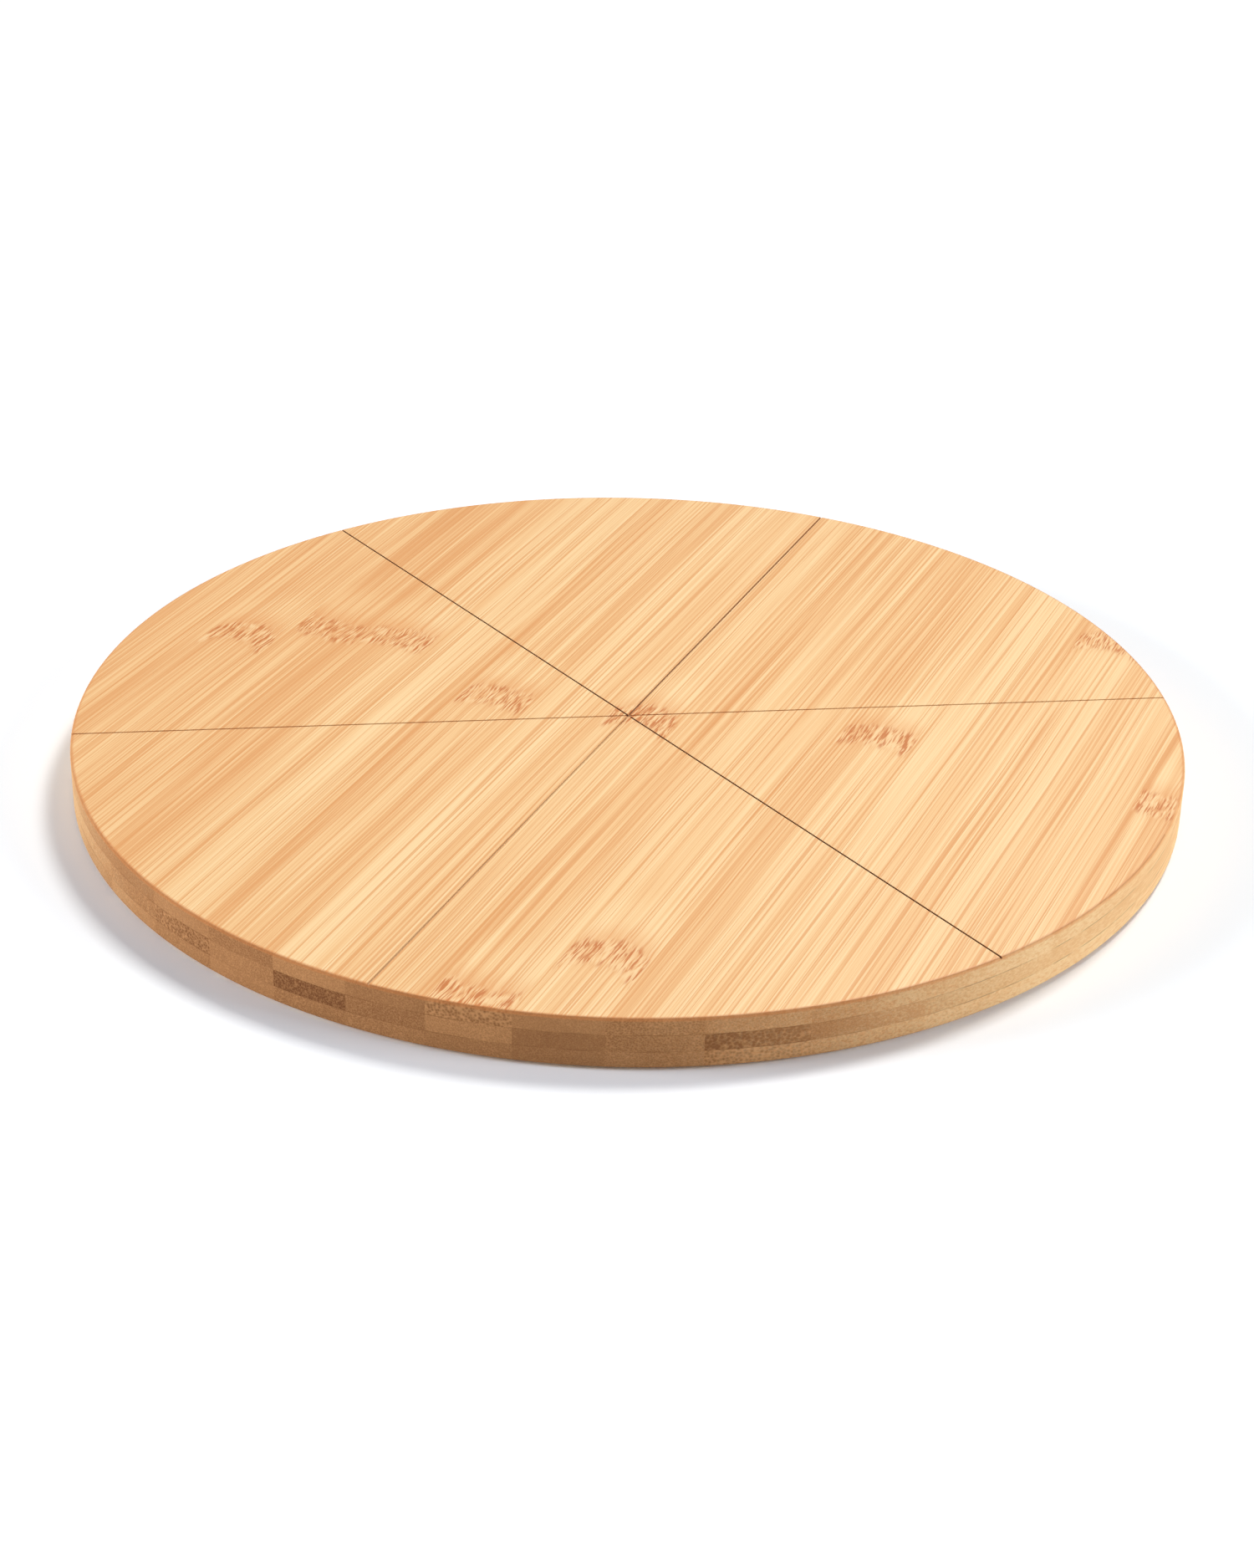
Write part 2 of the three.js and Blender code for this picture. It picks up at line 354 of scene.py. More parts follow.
def stave_stops(staves):
    """The cards as the stops of a stepped ramp, packed into red, green and blue."""
    return [
        (i / len(staves), (tone, knuckle / KNUCKLE_REACH + 0.5, coarse, 1))
        for i, (tone, knuckle, coarse) in enumerate(staves)
    ]


# %% Bamboo finish
SCORE_WIDTH = 0.7 * MM
SCORE_DEPTH = 0.6 * MM
RIM_EASE = 1.0 * MM
POCKET_CLEARANCE = 3.0 * MM

# How many streaks a metre holds along x, y and z, and how much each width of streak counts
FINE_STREAKS = (1700, 7, 1700)
NARROW_STREAKS = (650, 4, 650)
BROAD_STREAKS = (85, 1.8, 85)
VESSEL_STREAKS = (1400, 5, 1400)
KNUCKLE_FLECKS = (1700, 140, 1700)
FINE_WEIGHT = 2.4
NARROW_WEIGHT = 0.4
BROAD_WEIGHT = 0.95
VESSEL_WEIGHT = 0.7
BUMP_DEPTH = 0.035 * MM

PALE_BAMBOO = paint(247, 211, 158)
MID_BAMBOO = paint(239, 191, 134)
DARK_BAMBOO = paint(226, 164, 105)
BRUISED_BAMBOO = paint(224, 152, 92)
VESSEL_ORANGE = paint(222, 155, 94)
FIBRE_BROWN = paint(200, 118, 62)
RIM_PALE = paint(197, 142, 92)
RIM_DARK = paint(120, 74, 42)
# partly the bared fibres' brown and partly painted shade inside the score lines
SCORE_KERF_BROWN_AND_SHADE = paint(112, 58, 22)
GLUE_BROWN = paint(120, 76, 44)
# painted light: the orange glow through the thin eased top edge
EDGE_GLOW_ORANGE = paint(214, 132, 72)

pocket_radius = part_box("outer_race")[1].x + POCKET_CLEARANCE
pocket_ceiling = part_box("inner_race")[1].z


def bamboo_finish(name, node, staves, seed):
    """Oiled bamboo for the ply that stands for this CAD node."""
    b = Recipe(name)
    low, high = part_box(node)
    x, y, z = b.split(b.here)
    radius = b.calc("SQRT", b.calc("ADD", b.calc("MULTIPLY", x, x), b.calc("MULTIPLY", y, y)))

    # Which stave this is, and how far across it
    across = b.calc("DIVIDE", b.calc("SUBTRACT", x, FIRST_JOINT), STAVE_WIDTH)
    number = b.calc("FLOOR", across)
    share = b.calc("SUBTRACT", across, number)
    card_place = b.calc("DIVIDE", b.calc("ADD", number, 0.5), len(staves))
    card = b.ramp(card_place, stave_stops(staves), stepped=True)
    tone, place, coarse = b.split(card)
    luck_a, luck_b, luck_c = b.luck(b.calc("ADD", number, seed))

    # How far this is from the stave's knuckle, which is bowed and ragged
    knuckle_y = b.calc("MULTIPLY", b.calc("SUBTRACT", place, 0.5), KNUCKLE_REACH * MM)
    side = b.calc("SUBTRACT", share, 0.5)
    arch = b.calc("MULTIPLY", b.calc("MULTIPLY", side, side), 4)
    bow = b.calc("MULTIPLY", arch, b.calc("MULTIPLY", b.calc("SUBTRACT", luck_a, 0.65), 14 * MM))
    rag = b.noise(b.join(b.calc("MULTIPLY", x, 420), luck_b, 0), detail=3)
    ragged = b.calc("MULTIPLY", b.calc("SUBTRACT", rag, 0.5), 9 * MM)
    past = b.calc("SUBTRACT", b.calc("SUBTRACT", y, knuckle_y), b.calc("ADD", bow, ragged))
    inside_stave = b.ease(b.calc("ABSOLUTE", side), 0.46, 0.5, 1, 0)
    band = b.calc("MULTIPLY", b.ease(b.calc("ABSOLUTE", past), 4.5 * MM, 9 * MM, 1, 0), inside_stave)
    bruise = b.ease(b.calc("ABSOLUTE", b.calc("SUBTRACT", past, 3 * MM)), 2 * MM, 16 * MM, 1, 0)
    swell = b.ease(b.calc("ABSOLUTE", b.calc("SUBTRACT", past, 20 * MM)), 2 * MM, 18 * MM, 1, 0)

    # Fibres lean round the knuckle, and wander a little everywhere
    lean = b.noise(b.stretch(b.here, (140, 80, 140)), detail=1)
    wander = b.noise(b.join(luck_a, b.calc("MULTIPLY", y, 9), luck_b), detail=1)
    lean_by = b.calc("MULTIPLY", b.calc("MULTIPLY", b.calc("SUBTRACT", lean, 0.5), bruise), 2 * MM)
    wander_by = b.calc("MULTIPLY", b.calc("SUBTRACT", wander, 0.5), 1.5 * MM)
    fibre_x = b.calc("ADD", x, b.calc("ADD", lean_by, wander_by))
    fibres = b.join(
        b.calc("ADD", fibre_x, luck_a),
        b.calc("ADD", y, b.calc("MULTIPLY", luck_b, 5)),
        b.calc("ADD", z, luck_c),
    )

    # Streaks of four widths
    fine = b.noise(b.stretch(fibres, FINE_STREAKS), detail=2, roughness=0.65)
    narrow = b.noise(b.stretch(fibres, NARROW_STREAKS), detail=1)
    broad = b.noise(b.stretch(fibres, BROAD_STREAKS), detail=0)
    vessel = b.noise(b.stretch(fibres, VESSEL_STREAKS), detail=1)
    vessels = b.ease(vessel, 0.54, 0.64)

    # All of them make one value from dark to pale
    streaks = b.calc(
        "ADD",
        b.calc("MULTIPLY", b.calc("SUBTRACT", fine, 0.5), FINE_WEIGHT),
        b.calc(
            "ADD",
            b.calc("MULTIPLY", b.calc("SUBTRACT", narrow, 0.5), NARROW_WEIGHT),
            b.calc("MULTIPLY", b.calc("SUBTRACT", broad, 0.5), BROAD_WEIGHT),
        ),
    )
    joint = b.ease(b.calc("ABSOLUTE", side), 0.36, 0.5)
    joint_shade = b.calc("MULTIPLY", joint, b.calc("MULTIPLY", luck_c, 0.30))
    shade = b.calc("ADD", b.calc("MULTIPLY", tone, 0.8), 0.14)
    shade = b.calc("SUBTRACT", b.calc("ADD", shade, streaks), joint_shade)
    shade = b.calc("ADD", shade, b.calc("MULTIPLY", swell, 0.16), clamp=True)
    along = b.ramp(shade, [(0.0, DARK_BAMBOO), (0.45, MID_BAMBOO), (1.0, PALE_BAMBOO)])
    along = b.mix(b.calc("MULTIPLY", vessels, VESSEL_WEIGHT), along, VESSEL_ORANGE)
    along = b.mix(b.calc("MULTIPLY", b.calc("MULTIPLY", bruise, inside_stave), 0.35), along, BRUISED_BAMBOO)

    # Flecks in the knuckle, dark and light
    fleck = b.noise(b.stretch(fibres, KNUCKLE_FLECKS), detail=2)
    dark_flecks = b.calc("MULTIPLY", b.ease(fleck, 0.50, 0.60), band)
    light_flecks = b.calc("MULTIPLY", b.ease(fleck, 0.48, 0.38), band)
    along = b.mix(b.calc("MULTIPLY", dark_flecks, 0.9), along, FIBRE_BROWN)
    along = b.mix(b.calc("MULTIPLY", light_flecks, 0.7), along, PALE_BAMBOO)

    # The rim and the pocket's wall cut across the fibres at front and back
    rim = b.ease(radius, board_radius - 0.8 * MM, board_radius - 0.2 * MM)
    wall = b.ease(b.calc("ABSOLUTE", b.calc("SUBTRACT", radius, pocket_radius)), 0, 0.2 * MM, 1, 0)
    wall = b.calc("MULTIPLY", wall, b.calc("LESS_THAN", z, pocket_ceiling + 0.1 * MM))
    cut_face = b.calc("MAXIMUM", rim, wall)
    end_on = b.ease(b.calc("DIVIDE", b.calc("ABSOLUTE", y), radius), 0.35, 1.0)
    dot_size = b.calc("MULTIPLY_ADD", coarse, -1500, 2700)
    dots = b.cells(b.stretch(fibres, (1, 0.05, 1)), scale=dot_size)
    dot_strength = b.calc("MULTIPLY_ADD", coarse, 0.8, 0.35)
    end_shade = b.calc("MULTIPLY", b.calc("SUBTRACT", dots, 0.45), dot_strength)
    end_shade = b.calc("ADD", end_shade, b.calc("MULTIPLY", streaks, 0.14))
    end_shade = b.calc("ADD", end_shade, b.calc("MULTIPLY_ADD", tone, 0.95, 0.06), clamp=True)
    end_colour = b.mix(end_shade, RIM_DARK, RIM_PALE)
    # Faces cut along the fibres are mixed towards pale bamboo: painted light, for the side lamps that
    # brighten the rim's two ends.
    side_on_highlight = b.calc("MULTIPLY", cut_face, b.calc("SUBTRACT", 1, end_on))
    colour = b.mix(b.calc("MULTIPLY", side_on_highlight, 0.45), along, PALE_BAMBOO)
    end_share = b.calc("MULTIPLY", cut_face, b.calc("MULTIPLY_ADD", end_on, 0.95, 0.05))
    colour = b.mix(end_share, colour, end_colour)

    # A thin line of glue at each joint between plies
    to_joint = b.calc("MINIMUM", b.calc("SUBTRACT", z, low.z), b.calc("SUBTRACT", high.z, z))
    glue_show = b.noise(b.stretch(b.here, (90, 90, 0)), detail=1)
    glue = b.calc("MULTIPLY", b.ease(to_joint, 0.04 * MM, 0.26 * MM, 0.45, 0), b.ease(glue_show, 0.3, 0.6))
    colour = b.mix(b.calc("MULTIPLY", glue, cut_face), colour, GLUE_BROWN)

    # The eased top edge is mixed towards orange: painted light, for the glow where light passes through the
    # thin rounded edge. The score lines are darkened towards brown, partly for the fibres the saw laid bare
    # and partly as painted shade inside the kerfs. The line that the key lamp falls across is darkened
    # most, as painted shade, and the one along the grain a little less, as painted light where the lamp
    # shines along it.
    if node == "top_ply":
        eased = b.calc(
            "MULTIPLY",
            b.ease(radius, board_radius - 1.3 * MM, board_radius - 0.7 * MM),
            b.ease(z, high.z - 1.2 * MM, high.z - 0.5 * MM),
        )
        # Painted light: the eased edge is mixed towards orange for the glow of light through the thin
        # rounded edge.
        colour = b.mix(b.calc("MULTIPLY", eased, 0.45), colour, EDGE_GLOW_ORANGE)
        # Inside the kerfs the colour is darkened towards brown: partly bared fibres, partly painted shade.
        in_score = b.ease(z, high.z - 0.02 * MM, high.z - 0.25 * MM)
        in_score = b.calc("MULTIPLY", in_score, b.ease(radius, board_radius - 1 * MM, board_radius, 1, 0))
        # Painted light: the line along the grain is darkened less, as the key lamp shines along it.
        painted_light_along_grain = b.ease(b.calc("ABSOLUTE", x), 0.6 * MM, 1.2 * MM, 0.75, 1)
        # Painted shade: the line that the key lamp falls across is darkened most.
        painted_key_shade = b.calc("MULTIPLY_ADD", b.calc("LESS_THAN", b.calc("MULTIPLY", x, y), 0), 0.6, 0.35)
        score_brown_and_shade = b.calc("MULTIPLY", in_score, b.calc("MULTIPLY", painted_light_along_grain, painted_key_shade))
        colour = b.mix(score_brown_and_shade, colour, SCORE_KERF_BROWN_AND_SHADE)

    relief = b.calc("ADD", fine, b.calc("MULTIPLY", dark_flecks, -0.6))
    relief = b.calc("SUBTRACT", relief, b.calc("MULTIPLY", vessels, 0.6))
    relief = b.calc("ADD", relief, b.calc("MULTIPLY", b.calc("MULTIPLY", dots, cut_face), 0.8))
    gloss = b.calc("MULTIPLY_ADD", fine, 0.16, 0.38)
    gloss = b.calc("ADD", gloss, b.calc("MULTIPLY", cut_face, 0.34))
    return b.finish(
        Base_Color=colour,
        Roughness=gloss,
        Specular_IOR_Level=b.calc("MULTIPLY_ADD", cut_face, -0.27, 0.35),
        Normal=b.bump(relief, BUMP_DEPTH),
    )


# %% [markdown]
# ## Turned pieces
#
# The plies, races, screws and feet are all round, so each is turned as on a lathe. A plane shrunk to
# a point starts an outline in the X-Z plane. It is extruded from corner to corner and then spun about
# the upright axis. Doubles are merged before the normals are set, because the spin's last step lands
# on its first and the points on the axis meet.


# %% Modelling helpers
def pick(piece):
    """Makes this the only piece that operators act on."""
    bpy.ops.object.select_all(action="DESELECT")
    piece.select_set(True)
    bpy.context.view_layer.objects.active = piece


def rounded(corners, steps=5):
    """An outline's points, from corners of (radius, height, rounding)."""
    points = []
    for i, (r, z, rounding) in enumerate(corners):
        here = Vector((r, z))
        if not rounding:
            points.append(here)
            continue
        back = (Vector(corners[i - 1][:2]) - here).normalized()
        on = (Vector(corners[(i + 1) % len(corners)][:2]) - here).normalized()
        half = back.angle(on) / 2
        centre = here + (back + on).normalized() * (rounding / math.sin(half))
        first = here + back * (rounding / math.tan(half)) - centre
        last = here + on * (rounding / math.tan(half)) - centre
        swing = math.atan2(first.x * last.y - first.y * last.x, first.dot(last))
        for k in range(steps + 1):
            turn = swing * k / steps
            points.append(
                centre
                + Vector(
                    (
                        first.x * math.cos(turn) - first.y * math.sin(turn),
                        first.x * math.sin(turn) + first.y * math.cos(turn),
                    )
                )
            )
    return points


SMOOTH_BELOW = 35  # degrees between two faces, above which their edge stays sharp
SLIVER = 0.002 * MM  # a boolean can leave edges this short, which are merged away


def turn_on_lathe(name, outline, steps):
    """A closed piece spun from an outline that starts and ends on the axis, or is a closed loop."""
    loop = list(outline)
    if loop[0].x > 0:
        loop.append(loop[0])
    bpy.ops.object.select_all(action="DESELECT")
    bpy.ops.mesh.primitive_plane_add(size=1)
    piece = bpy.context.object
    piece.name = name
    piece.data.name = name
    bpy.ops.object.mode_set(mode="EDIT")
    bpy.ops.mesh.select_mode(type="VERT")
    bpy.ops.mesh.select_all(action="SELECT")
    bpy.ops.mesh.merge(type="CENTER")
    bpy.ops.transform.translate(value=(loop[0].x, 0, loop[0].y))
    for start, end in zip(loop, loop[1:]):
        step = end - start
        bpy.ops.mesh.extrude_vertices_move(TRANSFORM_OT_translate={"value": (step.x, 0, step.y)})
    bpy.ops.mesh.select_all(action="SELECT")
    bpy.ops.mesh.spin(steps=steps, angle=2 * math.pi, center=(0, 0, 0), axis=(0, 0, 1))
    bpy.ops.mesh.select_all(action="SELECT")
    bpy.ops.mesh.remove_doubles(threshold=SLIVER)
    bpy.ops.mesh.normals_make_consistent(inside=False)
    bpy.ops.object.mode_set(mode="OBJECT")
    bpy.ops.object.shade_smooth_by_angle(angle=math.radians(SMOOTH_BELOW))
    return piece


def settle(piece, place=(0, 0, 0), turn=0.0):
    """Moves and turns a piece, and leaves its object at the origin."""
    pick(piece)
    piece.location = place
    piece.rotation_euler = (0, 0, turn)
    bpy.ops.object.transform_apply(location=True, rotation=True, scale=True)
    return piece


def carve(piece, cutters):
    """Takes each cutter out of the piece, and removes the cutters."""
    for cutter in cutters:
        pick(piece)
        cut = piece.modifiers.new("cut", "BOOLEAN")
        cut.operation = "DIFFERENCE"
        cut.solver = "EXACT"
        cut.object = cutter
        bpy.ops.object.modifier_apply(modifier=cut.name)
        bpy.data.objects.remove(cutter)
    bpy.ops.object.mode_set(mode="EDIT")
    bpy.ops.mesh.select_mode(type="VERT")
    bpy.ops.mesh.select_all(action="SELECT")
    bpy.ops.mesh.remove_doubles(threshold=SLIVER)
    bpy.ops.mesh.dissolve_degenerate(threshold=SLIVER)
    bpy.ops.mesh.normals_make_consistent(inside=False)
    bpy.ops.object.mode_set(mode="OBJECT")
    bpy.ops.object.shade_smooth_by_angle(angle=math.radians(SMOOTH_BELOW))
    return piece


def copy_of(piece, name):
    """A copy with a mesh of its own."""
    twin = piece.copy()
    twin.data = piece.data.copy()
    twin.name = name
    twin.data.name = name
    bpy.context.scene.collection.objects.link(twin)
    return twin


def stand_for(piece, node, body, finish):
    """The piece takes over from a CAD node, on its body, with its finish."""
    piece.data.materials.clear()
    piece.data.materials.append(finish)
    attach(piece, body)
    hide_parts(node)


def report(piece):
    size = [round(v / MM, 2) for v in piece.dimensions]
    print(piece.name, size, "mm,", len(piece.data.polygons), "faces")
    assert len(piece.data.polygons) and min(size), f"{piece.name} came out empty"


# %% [markdown]
# ## The three plies
#
# The plies are glued flat on each other and then cut round together. The outer corners of the top
# and under plies are eased, and so is the pocket's mouth. The pocket for the bearing goes up through
# the under ply and stops partway into the core, so both are turned with it in their outlines. The
# screws' pilot holes are boolean cutters, taken out of the core and top plies as a drill would.

# %% Plies
BOARD_STEPS = 256
DRILL_STEPS = 24
SCREW_COUNT = 4
PILOT_RADIUS = 2.05 * MM
PILOT_PAST = 0.3 * MM  # beyond the screw's point
POCKET_EASE = 0.4 * MM
CUTTER_PAST = 1.0 * MM  # how far a cutter starts outside what it cuts

under_low, under_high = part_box("bottom_ply")
core_low, core_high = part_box("core_ply")
top_low, top_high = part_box("top_ply")


def pilot_drills(name):
    """Cutters for the screw holes, which end just past the screws' points."""
    drills = []
    start = pocket_ceiling - CUTTER_PAST
    for i in range(1, SCREW_COUNT + 1):
        low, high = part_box(f"race_screw_{i:02d}")
        reach = high.z + PILOT_PAST
        drill = turn_on_lathe(
            f"{name}_drill_{i}",
            rounded([
                (0, start, 0),
                (PILOT_RADIUS, start, 0),
                (PILOT_RADIUS, reach, 0),
                (0, reach, 0),
            ]),
            DRILL_STEPS,
        )
        middle = (low + high) / 2
        drills.append(settle(drill, (middle.x, middle.y, 0)))
    return drills


top_ply = turn_on_lathe(
    "ply_top",
    rounded([(0, top_low.z, 0), (board_radius, top_low.z, 0),
             (board_radius, top_high.z, RIM_EASE), (0, top_high.z, 0)]),
    BOARD_STEPS,
)
core_ply = turn_on_lathe(
    "ply_core",
    rounded([(0, pocket_ceiling, 0), (pocket_radius, pocket_ceiling, 0), (pocket_radius, core_low.z, 0),
             (board_radius, core_low.z, 0), (board_radius, core_high.z, 0), (0, core_high.z, 0)]),
    BOARD_STEPS,
)
under_ply = turn_on_lathe(
    "ply_under",
    rounded([(pocket_radius, under_low.z, POCKET_EASE), (board_radius, under_low.z, RIM_EASE),
             (board_radius, under_high.z, 0), (pocket_radius, under_high.z, 0)]),
    BOARD_STEPS,
)
carve(core_ply, pilot_drills("core"))
carve(top_ply, pilot_drills("top"))

# %% [markdown]
# ## Score lines
#
# Three lines right across the board mark six portions. Each is a shallow saw kerf with a rounded
# floor, so its cutter is a long bar whose lower edges are bevelled in edit mode.


# %% Score lines
SCORE_LINES = 3
BLADE_PAST = 4 * MM  # how much longer a cutter is than the board
BLADE_ROUNDING = 0.28 * MM
BLADE_SEGMENTS = 4


def score_blade(turn):
    """A bar as wide as a score line, with its lower long edges rounded."""
    bpy.ops.object.select_all(action="DESELECT")
    bpy.ops.mesh.primitive_cube_add(size=1)
    blade = bpy.context.object
    blade.name = "score_blade"
    blade.scale = (SCORE_WIDTH, 2 * board_radius + BLADE_PAST, 2 * SCORE_DEPTH)
    bpy.ops.object.transform_apply(scale=True)
    for edge in blade.data.edges:
        ends = [blade.data.vertices[v].co for v in edge.vertices]
        low = all(end.z < 0 for end in ends)
        edge.select = low and abs(ends[0].y - ends[1].y) > board_radius
    for part in (blade.data.vertices, blade.data.polygons):
        part.foreach_set("select", [False] * len(part))
    for edge in blade.data.edges:
        if edge.select:
            for v in edge.vertices:
                blade.data.vertices[v].select = True
    bpy.ops.object.mode_set(mode="EDIT")
    bpy.ops.mesh.select_mode(type="EDGE")
    bpy.ops.mesh.bevel(offset=BLADE_ROUNDING, segments=BLADE_SEGMENTS, affect="EDGES")
    bpy.ops.object.mode_set(mode="OBJECT")
    return settle(blade, (0, 0, face_height), turn)


carve(top_ply, [score_blade(math.pi * i / SCORE_LINES) for i in range(SCORE_LINES)])
pick(top_ply)
bpy.ops.object.shade_smooth_by_angle(angle=math.radians(SMOOTH_BELOW))
for ply in (top_ply, core_ply, under_ply):
    report(ply)

# %% Bamboo on the plies
bamboo_top = bamboo_finish("bamboo_top", "top_ply", TOP_STAVES, seed=11)
bamboo_core = bamboo_finish("bamboo_core", "core_ply", CORE_STAVES, seed=43)
bamboo_under = bamboo_finish("bamboo_under", "bottom_ply", UNDER_STAVES, seed=77)
stand_for(top_ply, "top_ply", "tabletop", bamboo_top)
stand_for(core_ply, "core_ply", "tabletop", bamboo_core)
stand_for(under_ply, "bottom_ply", "tabletop", bamboo_under)

# %% [markdown]
# ## Metal, nylon and rubber
#
# A turned aluminium ring shows its lathe's feed as fine circles, so its noise is read by radius and
# height. The screws are zinc plated and cloudy, and the balls are polished, with only a trace of
# grease. The nylon is as moulded, and the rubber has a fine tooth and a bloom of dust.


# %% Finishes of the bearing
def turned_aluminium():
    a = Recipe("turned_aluminium")
    x, y, z = a.split(a.here)
    radius = a.calc("SQRT", a.calc("ADD", a.calc("MULTIPLY", x, x), a.calc("MULTIPLY", y, y)))
    feed = a.noise(a.stretch(a.join(radius, z, 0), (5200, 5200, 1)), detail=2)
    cloud = a.noise(a.stretch(a.here, (70, 70, 160)), detail=4)
    colour = a.ramp(
        a.calc("MULTIPLY_ADD", feed, 0.35, a.calc("MULTIPLY", cloud, 0.65)),
        [(0.30, (0.50, 0.51, 0.53, 1)), (0.52, (0.64, 0.65, 0.66, 1)), (0.72, (0.74, 0.75, 0.75, 1))],
    )
    gloss = a.calc("MULTIPLY_ADD", cloud, 0.22, a.calc("MULTIPLY_ADD", feed, 0.14, 0.14))
    return a.finish(Base_Color=colour, Metallic=1.0, Roughness=gloss, Normal=a.bump(feed, 0.006 * MM))


def zinc_plate():
    s = Recipe("zinc_plate")
    cloud = s.noise(s.stretch(s.here, (420, 420, 420)), detail=4)
    tooth = s.noise(s.stretch(s.here, (5200, 5200, 5200)), detail=2)
    colour = s.ramp(cloud, [(0.32, (0.44, 0.45, 0.50, 1)), (0.68, (0.66, 0.66, 0.64, 1))])
    gloss = s.calc("MULTIPLY_ADD", cloud, 0.25, 0.2)
    return s.finish(Base_Color=colour, Metallic=1.0, Roughness=gloss, Normal=s.bump(tooth, 0.004 * MM))


def polished_steel():
    p = Recipe("polished_steel")
    grease = p.noise(p.stretch(p.here, (650, 650, 650)), detail=3)
    colour = p.ramp(grease, [(0.35, (0.62, 0.62, 0.63, 1)), (0.65, (0.80, 0.80, 0.81, 1))])
    gloss = p.ease(grease, 0.4, 0.7, 0.05, 0.22)
    return p.finish(Base_Color=colour, Metallic=1.0, Roughness=gloss)


def moulded_nylon():
    n = Recipe("moulded_nylon")
    cloud = n.noise(n.stretch(n.here, (240, 240, 240)), detail=3)
    tooth = n.noise(n.stretch(n.here, (3600, 3600, 3600)), detail=2)
    colour = n.ramp(cloud, [(0.3, (0.70, 0.67, 0.58, 1)), (0.7, (0.82, 0.80, 0.73, 1))])
    gloss = n.calc("MULTIPLY_ADD", tooth, 0.2, 0.36)
    return n.finish(Base_Color=colour, Roughness=gloss, Normal=n.bump(tooth, 0.012 * MM))


def foot_rubber():
    f = Recipe("foot_rubber")
    dust = f.noise(f.stretch(f.here, (380, 380, 380)), detail=4, roughness=0.65)
    tooth = f.noise(f.stretch(f.here, (3000, 3000, 3000)), detail=3)
    colour = f.ramp(dust, [(0.42, (0.011, 0.011, 0.012, 1)), (0.75, (0.055, 0.052, 0.048, 1))])
    gloss = f.calc("MULTIPLY_ADD", dust, 0.25, 0.62)
    return f.finish(Base_Color=colour, Roughness=gloss, Normal=f.bump(tooth, 0.03 * MM))


# %% [markdown]
# ## The two races
#
# Each race is one turned ring with a flange. The balls run in a groove whose section is an arc a
# little larger than the ball's, so it is drawn by a formula round the ball's own centre. The screws'
# seats are then countersunk into the inner race, and the feet's seats into the outer one.

# %% Races
RACE_WALL = 5.0 * MM
GROOVE_CLEARANCE = 0.12 * MM
RACE_FILLET = 0.45 * MM
OUTER_FLANGE = 4.0 * MM
SCREW_CLEARANCE = 0.3 * MM
SCREW_SHANK = 1.75 * MM
SCREW_HEAD = 3.5 * MM
SCREW_HEAD_RIM = 0.3 * MM
SEAT_WALL = 1.0 * MM
FOOT_CLEARANCE = 0.3 * MM
FOOT_GLUE = 0.3 * MM
FOOT_COUNT = 4
FOOT_SEAT_ROUNDING = 0.2 * MM
FLANGE_FILLET = 0.3 * MM
RACE_STEPS = 160
GROOVE_STEPS = 16
SEAT_STEPS = 40


def middle_of(node):
    low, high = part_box(node)
    return (low + high) / 2


inner_low, inner_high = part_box("inner_race")
outer_low, outer_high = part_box("outer_race")
ball_low, ball_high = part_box("ball_01")
screw_low, screw_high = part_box("race_screw_01")
foot_low, foot_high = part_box("foot_01")
ball_middle = middle_of("ball_01")
foot_radius = (foot_high.x - foot_low.x) / 2
ball_radius = (ball_high.z - ball_low.z) / 2
pitch_radius = ball_middle.xy.length
screw_circle = middle_of("race_screw_01").xy.length
inner_land = inner_high.x
outer_land = 2 * pitch_radius - inner_land
bore = screw_circle - (SCREW_HEAD + SCREW_CLEARANCE + SEAT_WALL)


def groove(side):
    """The corners of a ball groove's section, from its start to its end in the outline's direction."""
    radius = ball_radius + GROOVE_CLEARANCE
    half = math.acos((pitch_radius - inner_land) / radius)
    middle = 0 if side > 0 else math.pi
    turns = [middle + half - 2 * half * k / GROOVE_STEPS for k in range(GROOVE_STEPS + 1)]
    return [
        (pitch_radius + radius * math.cos(t), ball_middle.z + radius * math.sin(t), 0) for t in turns
    ]


inner_wall = inner_land - RACE_WALL
inner_race = turn_on_lathe(
    "race_inner",
    rounded([
        (bore, screw_low.z, FLANGE_FILLET),
        (inner_wall, screw_low.z, FLANGE_FILLET),
        (inner_wall, inner_low.z, RACE_FILLET),
        (inner_land, inner_low.z, RACE_FILLET),
        *groove(-1),
        (inner_land, inner_high.z, RACE_FILLET),
        (bore, inner_high.z, FLANGE_FILLET),
    ]),
    RACE_STEPS,
)
outer_wall = outer_land + RACE_WALL
flange_top = outer_low.z + OUTER_FLANGE
outer_race = turn_on_lathe(
    "race_outer",
    rounded([
        (outer_land, outer_low.z, RACE_FILLET),
        (outer_high.x, outer_low.z, RACE_FILLET),
        (outer_high.x, flange_top, RACE_FILLET),
        (outer_wall, flange_top, FLANGE_FILLET),
        (outer_wall, outer_high.z, RACE_FILLET),
        (outer_land, outer_high.z, RACE_FILLET),
        *groove(1),
    ]),
    RACE_STEPS,
)


